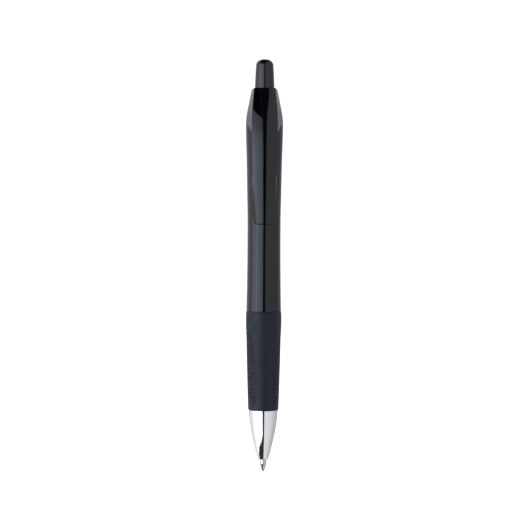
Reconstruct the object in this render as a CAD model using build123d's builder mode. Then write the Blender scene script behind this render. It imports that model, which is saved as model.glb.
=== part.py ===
from build123d import *
import os

# A click gel pen with its tip out, standing on its writing point.
# Millimetres. +Z runs up the pen's axis, the origin is the lowest point of the
# ball, and the pocket clip is on the -Y side.

os.makedirs("parts", exist_ok=True)

# Heights of the joins, from the writing point up
NOSE_MOUTH_Z = 4.3
SPRING_LEDGE_Z = 11.0
SPIGOT_Z = 15.6
NOSE_TOP_Z = 21.3
GRIP_TOP_Z = 55.0
SLEEVE_Z = 109.5
CLIP_END_Z = 84.7
CLIP_ROOT_Z = 116.3
SEAM_Z = 119.1
NECK_TOP_Z = 122.0
COLLAR_BORE_Z = 129.4
COLLAR_TOP_Z = 131.45
BUTTON_TOP_Z = 141.65

# Barrel moulding
BARREL_BORE_R = 3.25
SLEEVE_R = 4.35
SPIGOT_R = 3.55
THREAD_R = 3.80
THREAD_PITCH = 1.25
THREAD_GAP = 0.05
GRIP_SEAT_R = 4.30
WAIST_R = 5.67
SHOULDER_R = 6.40
NECK_R = 5.00

# Refill
TUBE_R = 3.00
TUBE_BORE_R = 2.50
TUBE_Z = 29.5
TUBE_TOP_Z = 109.0
REFILL_TOP_Z = 111.0
HOLDER_Z = 8.6
HOLDER_R = 1.70
HOLDER_SHOULDER_Z = 27.0
HOLDER_SPIGOT_TOP_Z = 35.0
CHANNEL_R = 0.80
METAL_TIP_R = 1.13
METAL_TIP_TOP_Z = 13.0
BALL_R = 0.35
VALVE_R = 1.20
VALVE_TOP_Z = 15.6
CHECK_BALL_R = 0.90
INK_TOP_Z = 90.0
FOLLOWER_TOP_Z = 97.0
MENISCUS = 0.6

# Click mechanism
CAM_COUNT = 4
TOOTH_COUNT = 8
TOOTH_DEPTH = 0.8
CAM_BODY_R = 2.85
CAM_RIB_R = 3.32
CAM_RIB_ANGLE = 26.0
GUIDE_SLOT_R = 3.40
GUIDE_RIB_R = 2.95
GUIDE_RIB_ANGLE = 50.0
GUIDE_RIB_Z = 116.9
ROTOR_Z = 111.05
ROTOR_TOP_Z = 118.0
PLUNGER_Z = 118.05
BUTTON_Z = 123.6
BUTTON_FLANGE = 0.7
BUTTON_BORE_R = 2.20

# Rubber grip: grooves in two finger zones in front and a thumb zone behind.
# A groove is its width and its depth.
GROOVE_PITCH = 0.681
GROOVE_COUNT = 36
GROOVE_LOW_Z = 23.85
GROOVE_DRAFT = 0.03
FINE_GROOVE = (0.22, 0.45)
BOLD_GROOVE = (0.32, 0.65)
GRIP_TURN = 6.4


def write(piece, label):
    """Names the finished piece and writes its STEP file."""
    piece.part.label = label
    export_step(piece.part, f"parts/{label}.step")


def grip_radius(z):
    """Outer radius of the rubber between the nose cone and its widest ring."""
    share = (z - NOSE_TOP_Z) / (50.7 - NOSE_TOP_Z)
    return 5.22 + 1.00 * share - 0.21 * share * share


# ---------------------------------------------------------------- barrel
# One gloss moulding: threaded spigot, seat for the rubber, waisted body, neck.
# The shoulder cap meets the barrel and the clip on this line, seen from the side.
with BuildPart() as above_seam:
    with BuildSketch(Plane.YZ):
        with BuildLine():
            Line((12.0, SEAM_Z), (1.0, SEAM_Z))
            ThreePointArc((1.0, SEAM_Z), (-3.3, 118.5), (-6.9, CLIP_ROOT_Z))
            Line((-6.9, CLIP_ROOT_Z), (-12.0, CLIP_ROOT_Z))
            Polyline((-12.0, CLIP_ROOT_Z), (-12.0, 150.0), (12.0, 150.0), (12.0, SEAM_Z))
        make_face()
    extrude(amount=12.0, both=True)


def thread_ridge(gap):
    """One-start thread ridge for the nose cone; a gap makes it the groove's size."""
    with BuildPart() as ridge:
        with BuildLine():
            path = Helix(THREAD_PITCH, 3.0, SPIGOT_R, center=(0, 0, SPIGOT_Z + 1.0))
        with BuildSketch(Plane(origin=path @ 0, x_dir=(1, 0, 0), z_dir=path % 0)):
            with BuildLine():
                Polyline(
                    (-0.20, 0.42 + gap),
                    (THREAD_R - SPIGOT_R + gap, 0.10 + gap),
                    (THREAD_R - SPIGOT_R + gap, -0.10 - gap),
                    (-0.20, -0.42 - gap),
                    close=True,
                )
            make_face()
        sweep(is_frenet=True)
    return ridge.part


barrel_thread = thread_ridge(0)
with BuildPart() as barrel:
    with BuildSketch(Plane.XZ):
        with BuildLine():
            Polyline(
                (0, SPIGOT_Z),
                (SPIGOT_R - 0.3, SPIGOT_Z),
                (SPIGOT_R, SPIGOT_Z + 0.3),
                (SPIGOT_R, NOSE_TOP_Z),
                (GRIP_SEAT_R, NOSE_TOP_Z),
                (GRIP_SEAT_R, GRIP_TOP_Z),
                (5.88, GRIP_TOP_Z),
                (5.95, GRIP_TOP_Z + 0.08),
            )
            Spline(
                (5.95, GRIP_TOP_Z + 0.08),
                (5.80, 63.5),
                (WAIST_R, 79.0),
                tangents=[(-0.02, 1), (0, 1)],
            )
            Line((WAIST_R, 79.0), (WAIST_R, 84.5))
            Spline(
                (WAIST_R, 84.5),
                (5.87, 96.0),
                (6.11, 108.0),
                (SHOULDER_R, 119.0),
                (SHOULDER_R, SEAM_Z + 0.5),
                tangents=[(0, 1), (0, 1)],
            )
            Line((SHOULDER_R, SEAM_Z + 0.5), (0, SEAM_Z + 0.5))
            Line((0, SEAM_Z + 0.5), (0, SPIGOT_Z))
        make_face()
    revolve(axis=Axis.Z)
    add(above_seam.part, mode=Mode.SUBTRACT)
    with BuildSketch(Plane.XY.offset(100.0)):
        Circle(NECK_R)
    extrude(amount=NECK_TOP_Z - 100.0)
    add(barrel_thread)
    with BuildSketch(Plane.XY.offset(SPIGOT_Z)):
        Circle(BARREL_BORE_R)
    extrude(amount=NECK_TOP_Z - SPIGOT_Z, mode=Mode.SUBTRACT)
    with BuildSketch(Plane.XY.offset(SLEEVE_Z)):
        Circle(SLEEVE_R)
    extrude(amount=NECK_TOP_Z - SLEEVE_Z, mode=Mode.SUBTRACT)
write(barrel, "barrel")

# ------------------------------------------------------------- nose cone
# Plated cone with a convex outline, a guide mouth and the spring's ledge.
nose_thread = thread_ridge(THREAD_GAP)
with BuildPart() as nose_cone:
    with BuildSketch(Plane.XZ):
        with BuildLine():
            Polyline(
                (1.22, NOSE_MOUTH_Z + 0.1),
                (1.32, NOSE_MOUTH_Z),
                (1.62, NOSE_MOUTH_Z),
                (1.72, NOSE_MOUTH_Z + 0.1),
            )
            Spline(
                (1.72, NOSE_MOUTH_Z + 0.1),
                (2.45, 6.8),
                (3.45, 10.8),
                (4.28, 15.0),
                (5.02, NOSE_TOP_Z - 0.15),
            )
            Polyline(
                (5.02, NOSE_TOP_Z - 0.15),
                (4.92, NOSE_TOP_Z),
                (SPIGOT_R + THREAD_GAP, NOSE_TOP_Z),
                (SPIGOT_R + THREAD_GAP, SPIGOT_Z - 0.2),
                (2.45, SPIGOT_Z - 0.2),
                (2.45, SPRING_LEDGE_Z),
                (1.85, SPRING_LEDGE_Z),
                (1.85, 7.3),
                (1.22, 6.9),
                (1.22, NOSE_MOUTH_Z + 0.1),
            )
        make_face()
    revolve(axis=Axis.Z)
    add(nose_thread, mode=Mode.SUBTRACT)
write(nose_cone, "nose_cone")

# ----------------------------------------------------------- rubber grip
# Sleeve with level grooves, fine and bold ones in turn. The core fills everything
# but the grooves, so the zones less the core are the grooves themselves.
CORE_R = 6.5
CORE_END = 2.0
with BuildPart() as grooved_core:
    with BuildSketch(Plane.XZ):
        with BuildLine():
            low_z = GROOVE_LOW_Z - CORE_END
            top_z = GROOVE_LOW_Z + GROOVE_COUNT * GROOVE_PITCH + CORE_END
            outline = [(0, low_z), (CORE_R, low_z)]
            for groove in range(GROOVE_COUNT):
                width, depth = BOLD_GROOVE if groove % 2 else FINE_GROOVE
                middle_z = GROOVE_LOW_Z + groove * GROOVE_PITCH
                floor_r = grip_radius(middle_z) - depth
                mouth = width / 2 + GROOVE_DRAFT
                floor = width / 2 - GROOVE_DRAFT
                outline.append((CORE_R, middle_z - mouth))
                outline.append((floor_r, middle_z - floor))
                outline.append((floor_r, middle_z + floor))
                outline.append((CORE_R, middle_z + mouth))
            outline.append((CORE_R, top_z))
            outline.append((0, top_z))
            Polyline(*outline, close=True)
        make_face()
    revolve(axis=Axis.Z)

with BuildPart() as grip_zones:
    with BuildSketch(Plane.XZ):
        with BuildLine():
            Line((9.0, 48.0), (4.6, 48.0))
            Spline(
                (4.6, 48.0),
                (4.2, 44.6),
                (3.6, 40.6),
                (3.1, 36.0),
                (2.68, 31.2),
                (2.75, 27.8),
                (3.1, 24.6),
            )
            ThreePointArc((3.1, 24.6), (3.65, 23.6), (4.35, 24.4))
            Polyline((4.35, 24.4), (5.3, 26.6), (9.0, 27.4), (9.0, 48.0))
        make_face()
        mirror(about=Plane.YZ)
    extrude(amount=9.0)
    with BuildSketch(Plane.XZ):
        with BuildLine():
            ThreePointArc((0, 25.0), (3.3, 36.5), (0, 48.0))
            ThreePointArc((0, 48.0), (-3.3, 36.5), (0, 25.0))
        make_face()
    extrude(amount=-9.0)
    add(grooved_core.part, mode=Mode.SUBTRACT)

with BuildPart() as rubber_grip:
    with BuildSketch(Plane.XZ):
        with BuildLine():
            Line((GRIP_SEAT_R, NOSE_TOP_Z), (5.05, NOSE_TOP_Z))
            Line((5.05, NOSE_TOP_Z), (grip_radius(21.5), 21.5))
            lower = [(grip_radius(z), z) for z in (21.5, 26.0, 31.0, 36.0, 41.0, 46.0)]
            Spline(*lower, (6.11, 50.5), (6.05, GRIP_TOP_Z - 0.12))
            Polyline(
                (6.05, GRIP_TOP_Z - 0.12),
                (5.95, GRIP_TOP_Z),
                (GRIP_SEAT_R, GRIP_TOP_Z),
                (GRIP_SEAT_R, NOSE_TOP_Z),
            )
        make_face()
    revolve(axis=Axis.Z)
    add(grip_zones.part.rotate(Axis.Z, GRIP_TURN), mode=Mode.SUBTRACT)
write(rubber_grip, "rubber_grip")

# ---------------------------------------------------- shoulder cap and clip
# Each section: height, half width, front face, crown radius, and then the side
# radius of the cap or how far the sides of the clip flare towards the back.
FACE_EDGE_R = 0.30
CAP_SECTIONS = [
    (COLLAR_TOP_Z, 3.64, 4.55, 34.0, 4.32),
    (129.0, 3.84, 5.55, 30.0, 4.87),
    (126.0, 4.08, 6.60, 23.0, 5.46),
    (123.0, 4.30, 7.52, 16.0, 6.04),
    (120.0, 4.40, 8.25, 12.5, 6.36),
    (117.5, 4.42, 8.72, 11.0, 6.39),
    (115.0, 4.38, 9.02, 10.0, 6.40),
]
CLIP_SECTIONS = [
    (120.0, 4.40, 8.25, 12.5, 0),
    (117.5, 4.42, 8.72, 11.0, 0),
    (115.0, 4.36, 9.02, 10.0, 0),
    (110.5, 4.22, 9.32, 8.8, 0),
    (104.0, 4.08, 9.50, 8.0, 0),
    (99.5, 3.90, 9.52, 8.0, 0.20),
    (95.0, 3.50, 9.45, 7.7, 0.65),
    (91.0, 3.12, 9.25, 7.0, 1.00),
    (88.0, 2.90, 9.02, 6.5, 1.15),
    (84.0, 2.30, 8.62, 6.2, 1.55),
]
CLIP_THICKNESS = 1.9
CLIP_TIP_R = 0.30


def crown_drop(half_width, crown_r):
    """How far the crowned face falls back from its middle to its edges."""
    return crown_r - (crown_r**2 - half_width**2) ** 0.5


with BuildPart() as clip_cap:
    for height, half_width, front, crown_r, side_r in CAP_SECTIONS:
        edge_y = crown_drop(half_width, crown_r) - front
        with BuildSketch(Plane.XY.offset(height)):
            with BuildLine():
                left = (-half_width, edge_y)
                right = (half_width, edge_y)
                ThreePointArc(left, (0, -front), right)
                Line(right, (side_r, 0))
                ThreePointArc((side_r, 0), (0, side_r), (-side_r, 0))
                Line((-side_r, 0), left)
            make_face()
            fillet(vertices().group_by(Axis.Y)[0], FACE_EDGE_R)
    loft()
    fillet(edges().group_by(Axis.Z)[-1], 0.30)
    with BuildSketch(Plane.XY.offset(COLLAR_BORE_Z)):
        Circle(3.58)
    extrude(amount=5.0, mode=Mode.SUBTRACT)
    with BuildSketch(Plane.XY.offset(NECK_TOP_Z)):
        Circle(3.90)
    extrude(amount=COLLAR_BORE_Z - NECK_TOP_Z, mode=Mode.SUBTRACT)
    with BuildSketch(Plane.XY.offset(110.0)):
        Circle(NECK_R)
    extrude(amount=NECK_TOP_Z - 110.0, mode=Mode.SUBTRACT)
    add(above_seam.part, mode=Mode.INTERSECT)
write(clip_cap, "clip_cap")

with BuildPart() as pocket_clip:
    for height, half_width, front, crown_r, flare in CLIP_SECTIONS:
        edge_y = crown_drop(half_width, crown_r) - front
        back = CLIP_THICKNESS - front
        back_half = half_width + flare
        with BuildSketch(Plane.XY.offset(height)):
            with BuildLine():
                left = (-half_width, edge_y)
                right = (half_width, edge_y)
                ThreePointArc(left, (0, -front), right)
                Polyline(right, (back_half, back), (-back_half, back), left)
            make_face()
            fillet(vertices().group_by(Axis.Y)[0], FACE_EDGE_R)
    loft()
    with BuildSketch(Plane.XZ) as free_end:
        with BuildLine():
            Polyline(
                (-3.65, CLIP_END_Z),
                (3.65, CLIP_END_Z),
                (8.0, CLIP_ROOT_Z),
                (-8.0, CLIP_ROOT_Z),
                close=True,
            )
        make_face()
        fillet(free_end.vertices().group_by(Axis.Z)[0], 0.5)
    extrude(amount=14.0, both=True, mode=Mode.INTERSECT)
    end_edges = edges().filter_by(lambda edge: edge.center().Z < CLIP_END_Z + 0.95)
    fillet(end_edges.filter_by(lambda edge: edge.center().Y < -7.0), CLIP_TIP_R)
    with BuildSketch(Plane.YZ):
        with BuildLine():
            Line((-8.2, 94.0), (-8.2, 85.6))
            Line((-8.2, 85.6), (-7.3, 85.9))
            ThreePointArc((-7.3, 85.9), (-5.89, 88.6), (-7.5, 92.6))
            Line((-7.5, 92.6), (-8.2, 94.0))
        make_face()
    extrude(amount=1.3, both=True)
write(pocket_clip, "pocket_clip")

# ----------------------------------------------------------- push button
with BuildPart() as push_button:
    with BuildSketch(Plane.XZ):
        with BuildLine():
            Polyline(
                (BUTTON_BORE_R, BUTTON_Z),
                (3.80, BUTTON_Z),
                (3.80, BUTTON_Z + BUTTON_FLANGE),
                (3.46, BUTTON_Z + BUTTON_FLANGE),
                (3.32, 132.4),
            )
            Spline(
                (3.32, 132.4),
                (3.19, 136.0),
                (3.00, 139.1),
                tangents=[(-0.02, 1), (-0.1, 1)],
            )
            ThreePointArc((3.00, 139.1), (2.54, 140.75), (1.40, 141.5))
            TangentArc((0, BUTTON_TOP_Z), (1.40, 141.5), tangent=(1, 0))
            Polyline(
                (0, BUTTON_TOP_Z),
                (0, 138.2),
                (1.4, 138.2),
                (BUTTON_BORE_R, 137.4),
                (BUTTON_BORE_R, BUTTON_Z),
            )
        make_face()
    revolve(axis=Axis.Z)
write(push_button, "push_button")


def crown_notches(point_z, mouth_z):
    """A ring of V notches, each with its point at one height and mouth at another."""
    half_pitch = 1.08
    with BuildPart() as notches:
        for tooth in range(TOOTH_COUNT):
            with BuildSketch(Plane.XZ.rotated((0, 0, tooth * 360.0 / TOOTH_COUNT))):
                with BuildLine():
                    Polyline(
                        (-half_pitch, mouth_z),
                        (half_pitch, mouth_z),
                        (0, point_z),
                        close=True,
                    )
                make_face()
            extrude(amount=4.0)
    return notches.part


def long_ribs(bottom_z, top_z, inner_r, outer_r, angle, turn):
    """Evenly spaced ribs on or in a cam, as sectors of a ring."""
    with BuildPart() as ribs:
        with BuildSketch(Plane.XY.offset(bottom_z)):
            with BuildLine():
                inner = CenterArc((0, 0), inner_r, turn - angle / 2, angle)
                outer = CenterArc((0, 0), outer_r, turn - angle / 2, angle)
                Line(inner @ 0, outer @ 0)
                Line(inner @ 1, outer @ 1)
            make_face()
        extrude(amount=top_z - bottom_z)
    return [ribs.part.rotate(Axis.Z, rib * 360.0 / CAM_COUNT) for rib in range(CAM_COUNT)]


def slanted_ends(end_z, rise, half_width, turn):
    """Wedges that slant the ends of a ring of ribs; the rise's sign turns them over."""
    with BuildPart() as wedge:
        with BuildSketch(Plane.XZ.rotated((0, 0, 90.0 + turn))):
            with BuildLine():
                Polyline(
                    (-half_width, end_z),
                    (half_width, end_z),
                    (half_width, end_z + rise),
                    close=True,
                )
            make_face()
        extrude(amount=4.0)
    return [wedge.part.rotate(Axis.Z, rib * 360.0 / CAM_COUNT) for rib in range(CAM_COUNT)]


# -------------------------------------------------------- click mechanism
plunger_notches = crown_notches(PLUNGER_Z + TOOTH_DEPTH, PLUNGER_Z)
plunger_legs = long_ribs(116.75, 120.4, 2.90, CAM_RIB_R, CAM_RIB_ANGLE, 0)
plunger_roots = long_ribs(119.2, 120.4, 2.65, 3.10, CAM_RIB_ANGLE, 0)
with BuildPart() as thrust_plunger:
    with BuildSketch(Plane.XY.offset(PLUNGER_Z)):
        Circle(CAM_BODY_R)
    extrude(amount=BUTTON_Z - PLUNGER_Z)
    with BuildSketch(Plane.XY.offset(BUTTON_Z)):
        Circle(BUTTON_BORE_R)
    extrude(amount=12.0)
    with BuildSketch(Plane.XY.offset(PLUNGER_Z)):
        Circle(1.4)
    extrude(amount=BUTTON_Z + 10.0 - PLUNGER_Z, mode=Mode.SUBTRACT)
    add(plunger_notches, mode=Mode.SUBTRACT)
    add(plunger_legs)
    add(plunger_roots)
write(thrust_plunger, "thrust_plunger")

rotor_notches = crown_notches(ROTOR_TOP_Z - TOOTH_DEPTH, ROTOR_TOP_Z)
with BuildPart() as rotor_ribs:
    add(long_ribs(ROTOR_Z + 0.5, 116.6, 2.65, CAM_RIB_R, CAM_RIB_ANGLE, 0))
    add(slanted_ends(116.6, -0.7, 0.85, 0), mode=Mode.SUBTRACT)

with BuildPart() as rotor_cam:
    with BuildSketch(Plane.XY.offset(ROTOR_Z)):
        Circle(CAM_BODY_R)
    extrude(amount=ROTOR_TOP_Z - ROTOR_Z)
    with BuildSketch(Plane.XY.offset(113.0)):
        Circle(1.4)
    extrude(amount=ROTOR_TOP_Z - 113.0, mode=Mode.SUBTRACT)
    add(rotor_notches, mode=Mode.SUBTRACT)
    add(rotor_ribs.part)
    with BuildSketch(Plane.XY.offset(107.2)):
        Circle(1.5)
    extrude(amount=ROTOR_Z - 107.2)
    chamfer(faces().sort_by(Axis.Z)[0].edges(), 0.3)
write(rotor_cam, "rotor_cam")

with BuildPart() as guide_ribs:
    add(long_ribs(GUIDE_RIB_Z, NECK_TOP_Z, GUIDE_RIB_R, 3.6, GUIDE_RIB_ANGLE, 45.0))
    add(slanted_ends(GUIDE_RIB_Z, 0.9, 1.6, 45.0), mode=Mode.SUBTRACT)

with BuildPart() as guide_sleeve:
    with BuildSketch(Plane.XY.offset(SLEEVE_Z)):
        Circle(SLEEVE_R)
        Circle(GUIDE_SLOT_R, mode=Mode.SUBTRACT)
    extrude(amount=NECK_TOP_Z - SLEEVE_Z)
    add(guide_ribs.part)
write(guide_sleeve, "guide_sleeve")

# ---------------------------------------------------------------- refill
with BuildPart() as refill_tube:
    with BuildSketch(Plane.XY.offset(TUBE_Z)):
        Circle(TUBE_R)
        Circle(TUBE_BORE_R, mode=Mode.SUBTRACT)
    extrude(amount=TUBE_TOP_Z - TUBE_Z)
write(refill_tube, "refill_tube")

with BuildPart() as refill_tail_plug:
    with BuildSketch(Plane.XZ):
        with BuildLine():
            Polyline(
                (0.4, 104.5),
                (TUBE_BORE_R - 0.2, 104.5),
                (TUBE_BORE_R, 105.0),
                (TUBE_BORE_R, TUBE_TOP_Z),
                (TUBE_R, TUBE_TOP_Z),
                (TUBE_R, REFILL_TOP_Z - 0.3),
                (TUBE_R - 0.3, REFILL_TOP_Z),
                (1.55, REFILL_TOP_Z),
                (1.55, 107.0),
                (0.4, 106.0),
                close=True,
            )
        make_face()
    revolve(axis=Axis.Z)
write(refill_tail_plug, "refill_tail_plug")

with BuildPart() as gel_ink:
    with BuildSketch(Plane.XZ):
        with BuildLine():
            Polyline(
                (0, VALVE_TOP_Z + 0.6),
                (CHANNEL_R, VALVE_TOP_Z + 0.6),
                (CHANNEL_R, HOLDER_SPIGOT_TOP_Z),
                (TUBE_BORE_R, HOLDER_SPIGOT_TOP_Z),
                (TUBE_BORE_R, INK_TOP_Z + MENISCUS),
            )
            TangentArc(
                (0, INK_TOP_Z), (TUBE_BORE_R, INK_TOP_Z + MENISCUS), tangent=(1, 0)
            )
            Line((0, INK_TOP_Z), (0, VALVE_TOP_Z + 0.6))
        make_face()
    revolve(axis=Axis.Z)
write(gel_ink, "gel_ink")

with BuildPart() as ink_follower:
    with BuildSketch(Plane.XZ):
        with BuildLine():
            TangentArc(
                (0, INK_TOP_Z), (TUBE_BORE_R, INK_TOP_Z + MENISCUS), tangent=(1, 0)
            )
            Line(
                (TUBE_BORE_R, INK_TOP_Z + MENISCUS),
                (TUBE_BORE_R, FOLLOWER_TOP_Z + MENISCUS),
            )
            TangentArc(
                (0, FOLLOWER_TOP_Z),
                (TUBE_BORE_R, FOLLOWER_TOP_Z + MENISCUS),
                tangent=(1, 0),
            )
            Line((0, FOLLOWER_TOP_Z), (0, INK_TOP_Z))
        make_face()
    revolve(axis=Axis.Z)
write(ink_follower, "ink_follower")

with BuildPart() as tip_holder:
    with BuildSketch(Plane.XZ):
        with BuildLine():
            Polyline(
                (METAL_TIP_R, HOLDER_Z),
                (HOLDER_R - 0.15, HOLDER_Z),
                (HOLDER_R, HOLDER_Z + 0.3),
                (HOLDER_R, 25.2),
                (1.9, HOLDER_SHOULDER_Z),
                (TUBE_R, HOLDER_SHOULDER_Z),
                (TUBE_R, TUBE_Z),
                (TUBE_BORE_R, TUBE_Z),
                (TUBE_BORE_R, HOLDER_SPIGOT_TOP_Z - 0.3),
                (TUBE_BORE_R - 0.2, HOLDER_SPIGOT_TOP_Z),
                (CHANNEL_R, HOLDER_SPIGOT_TOP_Z),
                (CHANNEL_R, VALVE_TOP_Z),
                (VALVE_R, VALVE_TOP_Z - 0.3),
                (VALVE_R, METAL_TIP_TOP_Z),
                (METAL_TIP_R, METAL_TIP_TOP_Z),
                close=True,
            )
        make_face()
    revolve(axis=Axis.Z)
write(tip_holder, "tip_holder")

with BuildPart() as check_ball:
    with Locations((0, 0, METAL_TIP_TOP_Z + CHECK_BALL_R + 0.05)):
        Sphere(CHECK_BALL_R)
write(check_ball, "check_ball")

with BuildPart() as metal_tip:
    with BuildSketch(Plane.XZ):
        with BuildLine():
            Polyline(
                (0.335, 0.20),
                (0.415, 0.20),
                (0.46, 0.42),
                (METAL_TIP_R, 2.75),
                (METAL_TIP_R, METAL_TIP_TOP_Z),
                (0.5, METAL_TIP_TOP_Z),
                (0.5, 1.6),
                (0.18, 1.0),
                (0.18, 0.70),
                (0.37, 0.55),
                (0.37, 0.35),
                close=True,
            )
        make_face()
    revolve(axis=Axis.Z)
write(metal_tip, "metal_tip")

with BuildPart() as writing_ball:
    with Locations((0, 0, BALL_R)):
        Sphere(BALL_R)
write(writing_ball, "writing_ball")

# --------------------------------------------------------------- springs
with BuildPart() as ball_spring:
    with BuildLine():
        coil = Helix(pitch=0.78, height=10.6, radius=0.36, center=(0, 0, 1.95))
    with BuildSketch(Plane(origin=coil @ 0, z_dir=coil % 0)):
        Circle(0.07)
    sweep()
    with BuildSketch(Plane.YZ):
        with Locations((0, 1.95)):
            Circle(0.07)
    extrude(amount=0.36)
    with BuildSketch(Plane.XY.offset(0.74)):
        Circle(0.08)
    extrude(amount=1.24)
write(ball_spring, "ball_spring")

with BuildPart() as return_spring:
    with BuildLine():
        coil = Helix(pitch=1.6, height=16.0, radius=2.14, center=(0, 0, SPRING_LEDGE_Z))
    with BuildSketch(Plane(origin=coil @ 0, z_dir=coil % 0)):
        Circle(0.19)
    sweep()
    with BuildSketch(Plane.XY.offset(SPRING_LEDGE_Z)):
        Circle(3.0)
    extrude(amount=HOLDER_SHOULDER_Z - SPRING_LEDGE_Z, mode=Mode.INTERSECT)
write(return_spring, "return_spring")
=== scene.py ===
import math

import bpy
from mathutils import Matrix, Vector


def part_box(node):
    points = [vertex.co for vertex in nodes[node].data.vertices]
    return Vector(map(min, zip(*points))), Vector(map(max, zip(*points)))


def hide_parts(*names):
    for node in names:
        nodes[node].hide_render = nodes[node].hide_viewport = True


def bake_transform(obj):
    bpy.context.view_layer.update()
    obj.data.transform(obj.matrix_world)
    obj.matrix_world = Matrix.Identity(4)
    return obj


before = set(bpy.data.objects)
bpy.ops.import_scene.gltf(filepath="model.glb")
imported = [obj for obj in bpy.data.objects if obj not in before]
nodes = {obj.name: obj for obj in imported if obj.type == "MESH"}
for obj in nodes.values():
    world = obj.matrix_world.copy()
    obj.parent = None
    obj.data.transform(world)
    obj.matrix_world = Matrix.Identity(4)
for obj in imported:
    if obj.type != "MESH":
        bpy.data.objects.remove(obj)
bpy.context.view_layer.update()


# ------------------------------------------------------------ node helpers
class Graph:
    """Short calls for building one shader tree."""

    def __init__(self, tree):
        self.tree = tree
        tree.nodes.clear()

    def node(self, kind, **sockets):
        made = self.tree.nodes.new(kind)
        for name, value in sockets.items():
            setattr(made, name, value)
        return made

    def link(self, source, target):
        self.tree.links.new(source, target)

    def math(self, operation, first, second=None, third=None):
        made = self.node("ShaderNodeMath", operation=operation)
        for slot, value in enumerate((first, second, third)):
            if value is None:
                continue
            if isinstance(value, (int, float)):
                made.inputs[slot].default_value = value
            else:
                self.link(value, made.inputs[slot])
        return made.outputs[0]

    def step(self, value, low, high, out_low=0.0, out_high=1.0):
        made = self.node("ShaderNodeMapRange", interpolation_type="SMOOTHSTEP")
        self.link(value, made.inputs["Value"])
        made.inputs["From Min"].default_value = low
        made.inputs["From Max"].default_value = high
        made.inputs["To Min"].default_value = out_low
        made.inputs["To Max"].default_value = out_high
        return made.outputs["Result"]

    def noise(self, vector, scale, detail=2.0, rough=0.5):
        made = self.node("ShaderNodeTexNoise")
        self.link(vector, made.inputs["Vector"])
        made.inputs["Scale"].default_value = scale
        made.inputs["Detail"].default_value = detail
        made.inputs["Roughness"].default_value = rough
        return made.outputs["Fac"]

    def ramp(self, value, stops):
        made = self.node("ShaderNodeValToRGB")
        self.link(value, made.inputs["Fac"])
        elements = made.color_ramp.elements
        while len(elements) < len(stops):
            elements.new(0.5)
        for element, (place, colour) in zip(elements, stops):
            element.position = place
            if isinstance(colour, (int, float)):
                colour = (colour, colour, colour)
            element.color = (*colour, 1.0)
        return made.outputs["Color"]

    def stretched(self, vector, scale):
        made = self.node("ShaderNodeMapping")
        self.link(vector, made.inputs["Vector"])
        made.inputs["Scale"].default_value = scale
        return made.outputs["Vector"]

    def bump(self, height, strength, distance, normal=None):
        made = self.node("ShaderNodeBump")
        made.inputs["Strength"].default_value = strength
        made.inputs["Distance"].default_value = distance
        self.link(height, made.inputs["Height"])
        if normal is not None:
            self.link(normal, made.inputs["Normal"])
        return made.outputs["Normal"]


def material(name):
    """A new material: its graph, its Principled shader and its object coordinates."""
    made = bpy.data.materials.new(name)
    made.use_nodes = True
    graph = Graph(made.node_tree)
    shader = graph.node("ShaderNodeBsdfPrincipled")
    output = graph.node("ShaderNodeOutputMaterial")
    graph.link(shader.outputs["BSDF"], output.inputs["Surface"])
    place = graph.node("ShaderNodeTexCoord").outputs["Object"]
    return made, graph, shader, place


def between(graph, factor, first, second):
    """A colour between two others."""
    made = graph.node("ShaderNodeMix", data_type="RGBA")
    graph.link(factor, made.inputs["Factor"])
    made.inputs["A"].default_value = (*first, 1.0)
    made.inputs["B"].default_value = (*second, 1.0)
    return made.outputs["Result"]


# --------------------------------------------------------------- materials
def gloss_black(name, dark, light, rough_low, rough_high, ior=1.5):
    """Polished moulded plastic: faint flow streaks, a little polish variation."""
    made, graph, shader, place = material(name)
    streaks = graph.noise(graph.stretched(place, (900, 900, 90)), 1.0, 3.0, 0.6)
    graph.link(between(graph, streaks, dark, light), shader.inputs["Base Color"])
    wear = graph.noise(place, 260.0, 4.0, 0.65)
    graph.link(graph.step(wear, 0.35, 0.75, rough_low, rough_high), shader.inputs["Roughness"])
    ripple = graph.noise(graph.stretched(place, (160, 160, 60)), 1.0, 1.0, 0.4)
    graph.link(graph.bump(ripple, 0.12, 0.00002), shader.inputs["Normal"])
    shader.inputs["IOR"].default_value = ior
    return made


barrel_black = gloss_black(
    "barrel_black", (0.0005, 0.0006, 0.0012), (0.0013, 0.0014, 0.0024), 0.03, 0.07
)
button_black = gloss_black(
    "button_black", (0.0022, 0.0026, 0.0045), (0.0034, 0.0040, 0.0064), 0.05, 0.10, 1.53
)


def soft_rubber():
    """Matte moulded rubber: spark-eroded grain, slight mottling, soft sheen."""
    made, graph, shader, place = material("grip_rubber")
    mottle = graph.noise(place, 420.0, 4.0, 0.6)
    colour = between(graph, mottle, (0.0015, 0.0025, 0.0075), (0.0035, 0.0050, 0.0115))
    graph.link(colour, shader.inputs["Base Color"])
    graph.link(graph.step(mottle, 0.3, 0.7, 0.44, 0.56), shader.inputs["Roughness"])
    fine = graph.noise(place, 9000.0, 3.0, 0.7)
    coarse = graph.noise(place, 2600.0, 2.0, 0.5)
    normal = graph.bump(fine, 0.35, 0.00003)
    graph.link(graph.bump(coarse, 0.25, 0.00004, normal), shader.inputs["Normal"])
    shader.inputs["IOR"].default_value = 1.41
    shader.inputs["Sheen Weight"].default_value = 0.10
    shader.inputs["Sheen Roughness"].default_value = 0.35
    return made


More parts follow.
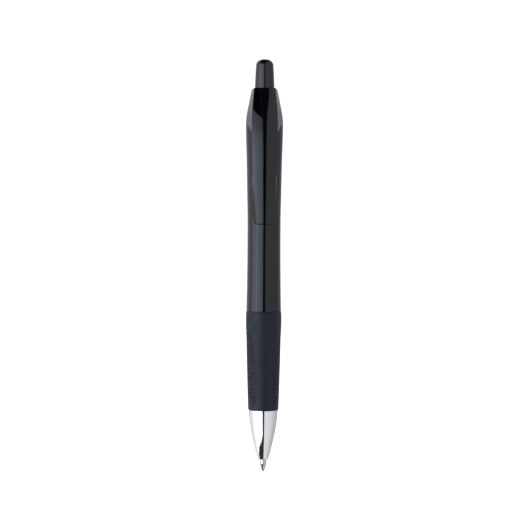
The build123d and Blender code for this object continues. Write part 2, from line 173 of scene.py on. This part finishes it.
def plated():
    """Bright plating over a turned cone: mirror with a trace of turning lines."""
    made, graph, shader, place = material("bright_plating")
    smear = graph.noise(place, 330.0, 4.0, 0.6)
    colour = between(graph, smear, (0.86, 0.84, 0.78), (0.93, 0.91, 0.85))
    graph.link(colour, shader.inputs["Base Color"])
    graph.link(graph.step(smear, 0.3, 0.8, 0.035, 0.075), shader.inputs["Roughness"])
    lines = graph.noise(graph.stretched(place, (40, 40, 14000)), 1.0, 2.0, 0.5)
    graph.link(graph.bump(lines, 0.04, 0.000004), shader.inputs["Normal"])
    shader.inputs["Metallic"].default_value = 1.0
    return made


def turned_steel(name, dark, light, rough):
    """Turned or drawn steel with fine rings across its length."""
    made, graph, shader, place = material(name)
    rings = graph.noise(graph.stretched(place, (60, 60, 26000)), 1.0, 3.0, 0.6)
    graph.link(between(graph, rings, dark, light), shader.inputs["Base Color"])
    graph.link(graph.step(rings, 0.3, 0.7, rough, rough + 0.1), shader.inputs["Roughness"])
    graph.link(graph.bump(rings, 0.25, 0.000004), shader.inputs["Normal"])
    shader.inputs["Metallic"].default_value = 1.0
    return made


def moulded(name, dark, light, rough, clear=0.0):
    """Natural or clear moulded plastic with a soft grain."""
    made, graph, shader, place = material(name)
    grain = graph.noise(place, 1500.0, 3.0, 0.6)
    graph.link(between(graph, grain, dark, light), shader.inputs["Base Color"])
    graph.link(graph.step(grain, 0.3, 0.7, rough, rough + 0.12), shader.inputs["Roughness"])
    graph.link(graph.bump(grain, 0.2, 0.00001), shader.inputs["Normal"])
    shader.inputs["Transmission Weight"].default_value = clear
    return made


rubber = soft_rubber()
plating = plated()
tip_steel = turned_steel("tip_steel", (0.54, 0.49, 0.46), (0.72, 0.67, 0.63), 0.13)
ball_metal = turned_steel("ball_metal", (0.45, 0.43, 0.42), (0.60, 0.58, 0.57), 0.08)
wire_steel = turned_steel("wire_steel", (0.45, 0.45, 0.46), (0.62, 0.62, 0.63), 0.22)
natural = moulded("natural_plastic", (0.72, 0.72, 0.69), (0.82, 0.82, 0.80), 0.38)
clear_tube = moulded("clear_tube", (0.86, 0.88, 0.89), (0.93, 0.94, 0.95), 0.12, 0.85)
clear_holder = moulded("clear_holder", (0.82, 0.84, 0.85), (0.90, 0.91, 0.92), 0.2, 0.7)
grease = moulded("follower_grease", (0.80, 0.78, 0.66), (0.88, 0.86, 0.76), 0.15, 0.6)
ink = moulded("gel_ink", (0.003, 0.003, 0.005), (0.006, 0.006, 0.010), 0.05)

FINISHES = {
    "barrel": barrel_black,
    "clip_cap": barrel_black,
    "pocket_clip": barrel_black,
    "push_button": button_black,
    "rubber_grip": rubber,
    "nose_cone": plating,
    "metal_tip": tip_steel,
    "writing_ball": ball_metal,
    "check_ball": ball_metal,
    "ball_spring": wire_steel,
    "return_spring": wire_steel,
    "guide_sleeve": natural,
    "thrust_plunger": natural,
    "rotor_cam": natural,
    "refill_tail_plug": natural,
    "refill_tube": clear_tube,
    "tip_holder": clear_holder,
    "ink_follower": grease,
    "gel_ink": ink,
}
for name, finish in FINISHES.items():
    slots = nodes[name].data.materials
    for index in range(len(slots)):
        slots[index] = finish
    if not slots:
        slots.append(finish)


# ----------------------------------------------------------- return spring
COIL_R = 0.00214
WIRE_R = 0.00019
END_TURNS = 1.5
LIVE_TURNS = 8


def spring_mesh(name, low, high, coil_r, wire_r, dead, live):
    """Compression spring along Z with closed end coils, as a tube on a helix."""
    per_turn, sides = 40, 12
    turns = 2 * dead + live
    count = int(turns * per_turn)
    closed = dead * 2 * wire_r
    open_run = (high - low) - 2 * wire_r - 2 * closed
    verts, faces = [], []
    for i in range(count + 1):
        turn = i / per_turn
        if turn < dead:
            z = turn * 2 * wire_r
        elif turn < dead + live:
            z = closed + (turn - dead) / live * open_run
        else:
            z = closed + open_run + (turn - dead - live) * 2 * wire_r
        angle = 2 * math.pi * turn
        out = Vector((math.cos(angle), math.sin(angle), 0))
        centre = out * coil_r + Vector((0, 0, low + wire_r + z))
        for k in range(sides):
            a = 2 * math.pi * k / sides
            outward = out * (wire_r * math.cos(a))
            upward = Vector((0, 0, wire_r * math.sin(a)))
            verts.append(centre + outward + upward)
    for i in range(count):
        for k in range(sides):
            a, b = i * sides + k, i * sides + (k + 1) % sides
            faces.append((a, b, b + sides, a + sides))
    faces.append(tuple(reversed(range(sides))))
    faces.append(tuple(count * sides + k for k in range(sides)))
    mesh = bpy.data.meshes.new(name)
    mesh.from_pydata(verts, [], faces)
    mesh.polygons.foreach_set("use_smooth", [True] * len(mesh.polygons))
    made = bpy.data.objects.new(name, mesh)
    bpy.context.scene.collection.objects.link(made)
    return made


spring_low, spring_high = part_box("return_spring")
spring = spring_mesh(
    "return_spring_wire", spring_low.z, spring_high.z, COIL_R, WIRE_R, END_TURNS, LIVE_TURNS
)
spring.data.materials.append(wire_steel)
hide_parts("return_spring")
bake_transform(spring)


# ------------------------------------------------------- floor and light
FLOOR_HALF = 6.0
FLOOR_DROP = 0.0016


def pale_floor():
    """A plain pale sheet just under the pen, clear of its point at full press."""
    mesh = bpy.data.meshes.new("studio_floor")
    corners = ((-1, -1), (1, -1), (1, 1), (-1, 1))
    verts = [(x * FLOOR_HALF, y * FLOOR_HALF, 0) for x, y in corners]
    mesh.from_pydata(verts, [], [(0, 1, 2, 3)])
    floor = bpy.data.objects.new("studio_floor", mesh)
    floor.location.z = -FLOOR_DROP
    bpy.context.scene.collection.objects.link(floor)
    made, graph, shader, place = material("floor_white")
    grain = graph.noise(place, 40.0, 3.0, 0.6)
    white = between(graph, grain, (0.92, 0.92, 0.92), (0.94, 0.94, 0.94))
    graph.link(white, shader.inputs["Base Color"])
    shader.inputs["Roughness"].default_value = 0.9
    shader.inputs["Specular IOR Level"].default_value = 0.0
    shader.inputs["Emission Color"].default_value = (1, 1, 1, 1)
    shader.inputs["Emission Strength"].default_value = 0.75
    mesh.materials.append(made)
    floor.visible_glossy = False


pale_floor()


def turn_share(degrees):
    """A bearing from the clip's side, right positive, as a share of the whole turn."""
    return (degrees + 180.0) / 360.0


# Brightness of the studio round the pen at eye height, by bearing: a bright soft
# box on the left, a dimmer wall on the right and a narrow dark gap between them.
STUDIO = [
    (-180, 0.54),
    (-146, 0.68),
    (-112, 0.92),
    (-93, 1.02),
    (-89, 1.05),
    (-87, 2.10),
    (-70, 2.15),
    (-60, 2.45),
    (-52, 2.90),
    (-42, 2.40),
    (-24, 1.90),
    (-7.5, 1.45),
    (-5.5, 0.03),
    (7.5, 0.03),
    (9.5, 0.80),
    (40, 0.80),
    (70, 0.74),
    (90, 0.60),
    (120, 0.52),
    (150, 0.46),
    (180, 0.46),
]

# Edges in the studio, each as the two angles in degrees between which it fades.
# The first two are bearings, the others angles above the horizon.
BOX_LEFT_EDGE = (-92, -87)
BOX_RIGHT_EDGE = (-7, -4)
BOX_DIMMING = (4, 26)
CEILING_EDGE = (52, 60)
FOOT_EDGE = (-56, -50)

# The soft box's upper and lower ends: between the first pair, which are bearings,
# they change from one angle above the horizon to the other. All are in degrees.
BOX_TOP = ((-27, -6), (31.0, 30.2))
BOX_BOTTOM = ((-24, -5), (-31.0, -28.5))
TOP_BLUR = 1.0
BOTTOM_BLUR = 0.8

# What is left of the light high up in the box, past its ends, above and underfoot
BOX_HIGH_SHARE = 0.62
BOX_END_SHARE = 0.015
CEILING_SHARE = 0.02
FOOT_SHARE = 0.05

BOX_TINT = (0.86, 0.98, 1.17)
WALL_TINT = (0.98, 0.965, 1.08)
WHITE_LEVEL = 1.05


def fade(graph, angle, edge, start, end):
    """A smooth change from start to end while an angle crosses an edge in degrees."""
    low, high = (math.radians(side) for side in edge)
    return graph.step(angle, low, high, start, end)


def studio():
    """The surroundings that the pen reflects; the camera itself sees plain white."""
    world = bpy.data.worlds.new("studio")
    world.use_nodes = True
    bpy.context.scene.world = world
    graph = Graph(world.node_tree)
    ray = graph.node("ShaderNodeTexCoord").outputs["Generated"]
    split = graph.node("ShaderNodeSeparateXYZ")
    graph.link(ray, split.inputs[0])
    x, y, z = split.outputs
    bearing = graph.math("ARCTAN2", x, graph.math("MULTIPLY", y, -1.0))
    rise = graph.math("ARCSINE", z)
    share = graph.math("MULTIPLY_ADD", bearing, 1 / (2 * math.pi), 0.5)
    top = max(value for _, value in STUDIO)
    level = graph.ramp(share, [(turn_share(d), value / top) for d, value in STUDIO])
    # the left soft box is dimmer high up and ends above and below in the dark
    left_box = graph.math(
        "MULTIPLY",
        fade(graph, bearing, BOX_LEFT_EDGE, 0.0, 1.0),
        fade(graph, bearing, BOX_RIGHT_EDGE, 1.0, 0.0),
    )
    dimmer = fade(graph, rise, BOX_DIMMING, 1.0, BOX_HIGH_SHARE)
    rise_degrees = graph.math("DEGREES", rise)
    over = graph.math("SUBTRACT", rise_degrees, fade(graph, bearing, BOX_TOP[0], *BOX_TOP[1]))
    above = graph.step(over, -TOP_BLUR, TOP_BLUR)
    bottom = fade(graph, bearing, BOX_BOTTOM[0], *BOX_BOTTOM[1])
    under = graph.math("SUBTRACT", rise_degrees, bottom)
    below = graph.step(under, -BOTTOM_BLUR, BOTTOM_BLUR, 1.0, 0.0)
    outside = graph.math("MULTIPLY", left_box, graph.math("MAXIMUM", above, below))
    ends = graph.math("MULTIPLY_ADD", outside, BOX_END_SHARE - 1.0, 1.0)
    box_level = graph.math("MULTIPLY", dimmer, ends)
    not_box = graph.math("SUBTRACT", 1.0, left_box)
    kept = graph.math("MULTIPLY_ADD", box_level, left_box, not_box)
    ceiling = fade(graph, rise, CEILING_EDGE, 1.0, CEILING_SHARE)
    foot = fade(graph, rise, FOOT_EDGE, FOOT_SHARE, 1.0)
    kept = graph.math("MULTIPLY", kept, graph.math("MULTIPLY", ceiling, foot))
    strength = graph.math("MULTIPLY", kept, top)
    tint = between(graph, left_box, WALL_TINT, BOX_TINT)
    colour = graph.node("ShaderNodeMix", data_type="RGBA", blend_type="MULTIPLY")
    colour.inputs["Factor"].default_value = 1.0
    graph.link(level, colour.inputs["A"])
    graph.link(tint, colour.inputs["B"])
    lit = graph.node("ShaderNodeBackground")
    graph.link(colour.outputs["Result"], lit.inputs["Color"])
    graph.link(strength, lit.inputs["Strength"])
    plain = graph.node("ShaderNodeBackground")
    plain.inputs["Color"].default_value = (1, 1, 1, 1)
    plain.inputs["Strength"].default_value = WHITE_LEVEL
    seen = graph.node("ShaderNodeLightPath").outputs["Is Camera Ray"]
    choice = graph.node("ShaderNodeMixShader")
    graph.link(seen, choice.inputs["Fac"])
    graph.link(lit.outputs[0], choice.inputs[1])
    graph.link(plain.outputs[0], choice.inputs[2])
    output = graph.node("ShaderNodeOutputWorld")
    graph.link(choice.outputs[0], output.inputs["Surface"])


studio()

LAMP_SIZE = (1.6, 1.2)
LAMP_PLACE = (0, 0.3, 1.6)
LAMP_WATTS = 6.0


def overhead_lamp():
    """A wide soft lamp overhead that no gloss surface mirrors."""
    lamp = bpy.data.lights.new("overhead_soft", "AREA")
    lamp.shape = "RECTANGLE"
    lamp.size, lamp.size_y = LAMP_SIZE
    lamp.energy = LAMP_WATTS
    overhead = bpy.data.objects.new("overhead_soft", lamp)
    overhead.location = LAMP_PLACE
    overhead.visible_glossy = False
    bpy.context.scene.collection.objects.link(overhead)


overhead_lamp()


# ------------------------------------------------------------------ camera
BEARING = math.radians(0.8)
DISTANCE = 0.555
EYE_HEIGHT = 0.0710
SIDE_STEP = 0.00038
ROLL = math.radians(-0.25)
FOCAL_LENGTH = 109.7
SENSOR_WIDTH = 36.0

look = Vector((math.sin(BEARING), math.cos(BEARING), 0))
right = Vector((math.cos(BEARING), -math.sin(BEARING), 0))
eye = Vector((0, 0, EYE_HEIGHT)) - look * DISTANCE + right * SIDE_STEP
lens = bpy.data.cameras.new("camera")
lens.sensor_width = SENSOR_WIDTH
lens.lens = FOCAL_LENGTH
lens.clip_start = 0.01
camera = bpy.data.objects.new("camera", lens)
upright = look.to_track_quat("-Z", "Y").to_matrix().to_4x4()
camera.matrix_world = Matrix.Translation(eye) @ Matrix.Rotation(ROLL, 4, look) @ upright
bpy.context.scene.collection.objects.link(camera)
bpy.context.scene.camera = camera
bpy.context.scene.view_settings.view_transform = "Standard"
bpy.context.scene.view_settings.look = "None"
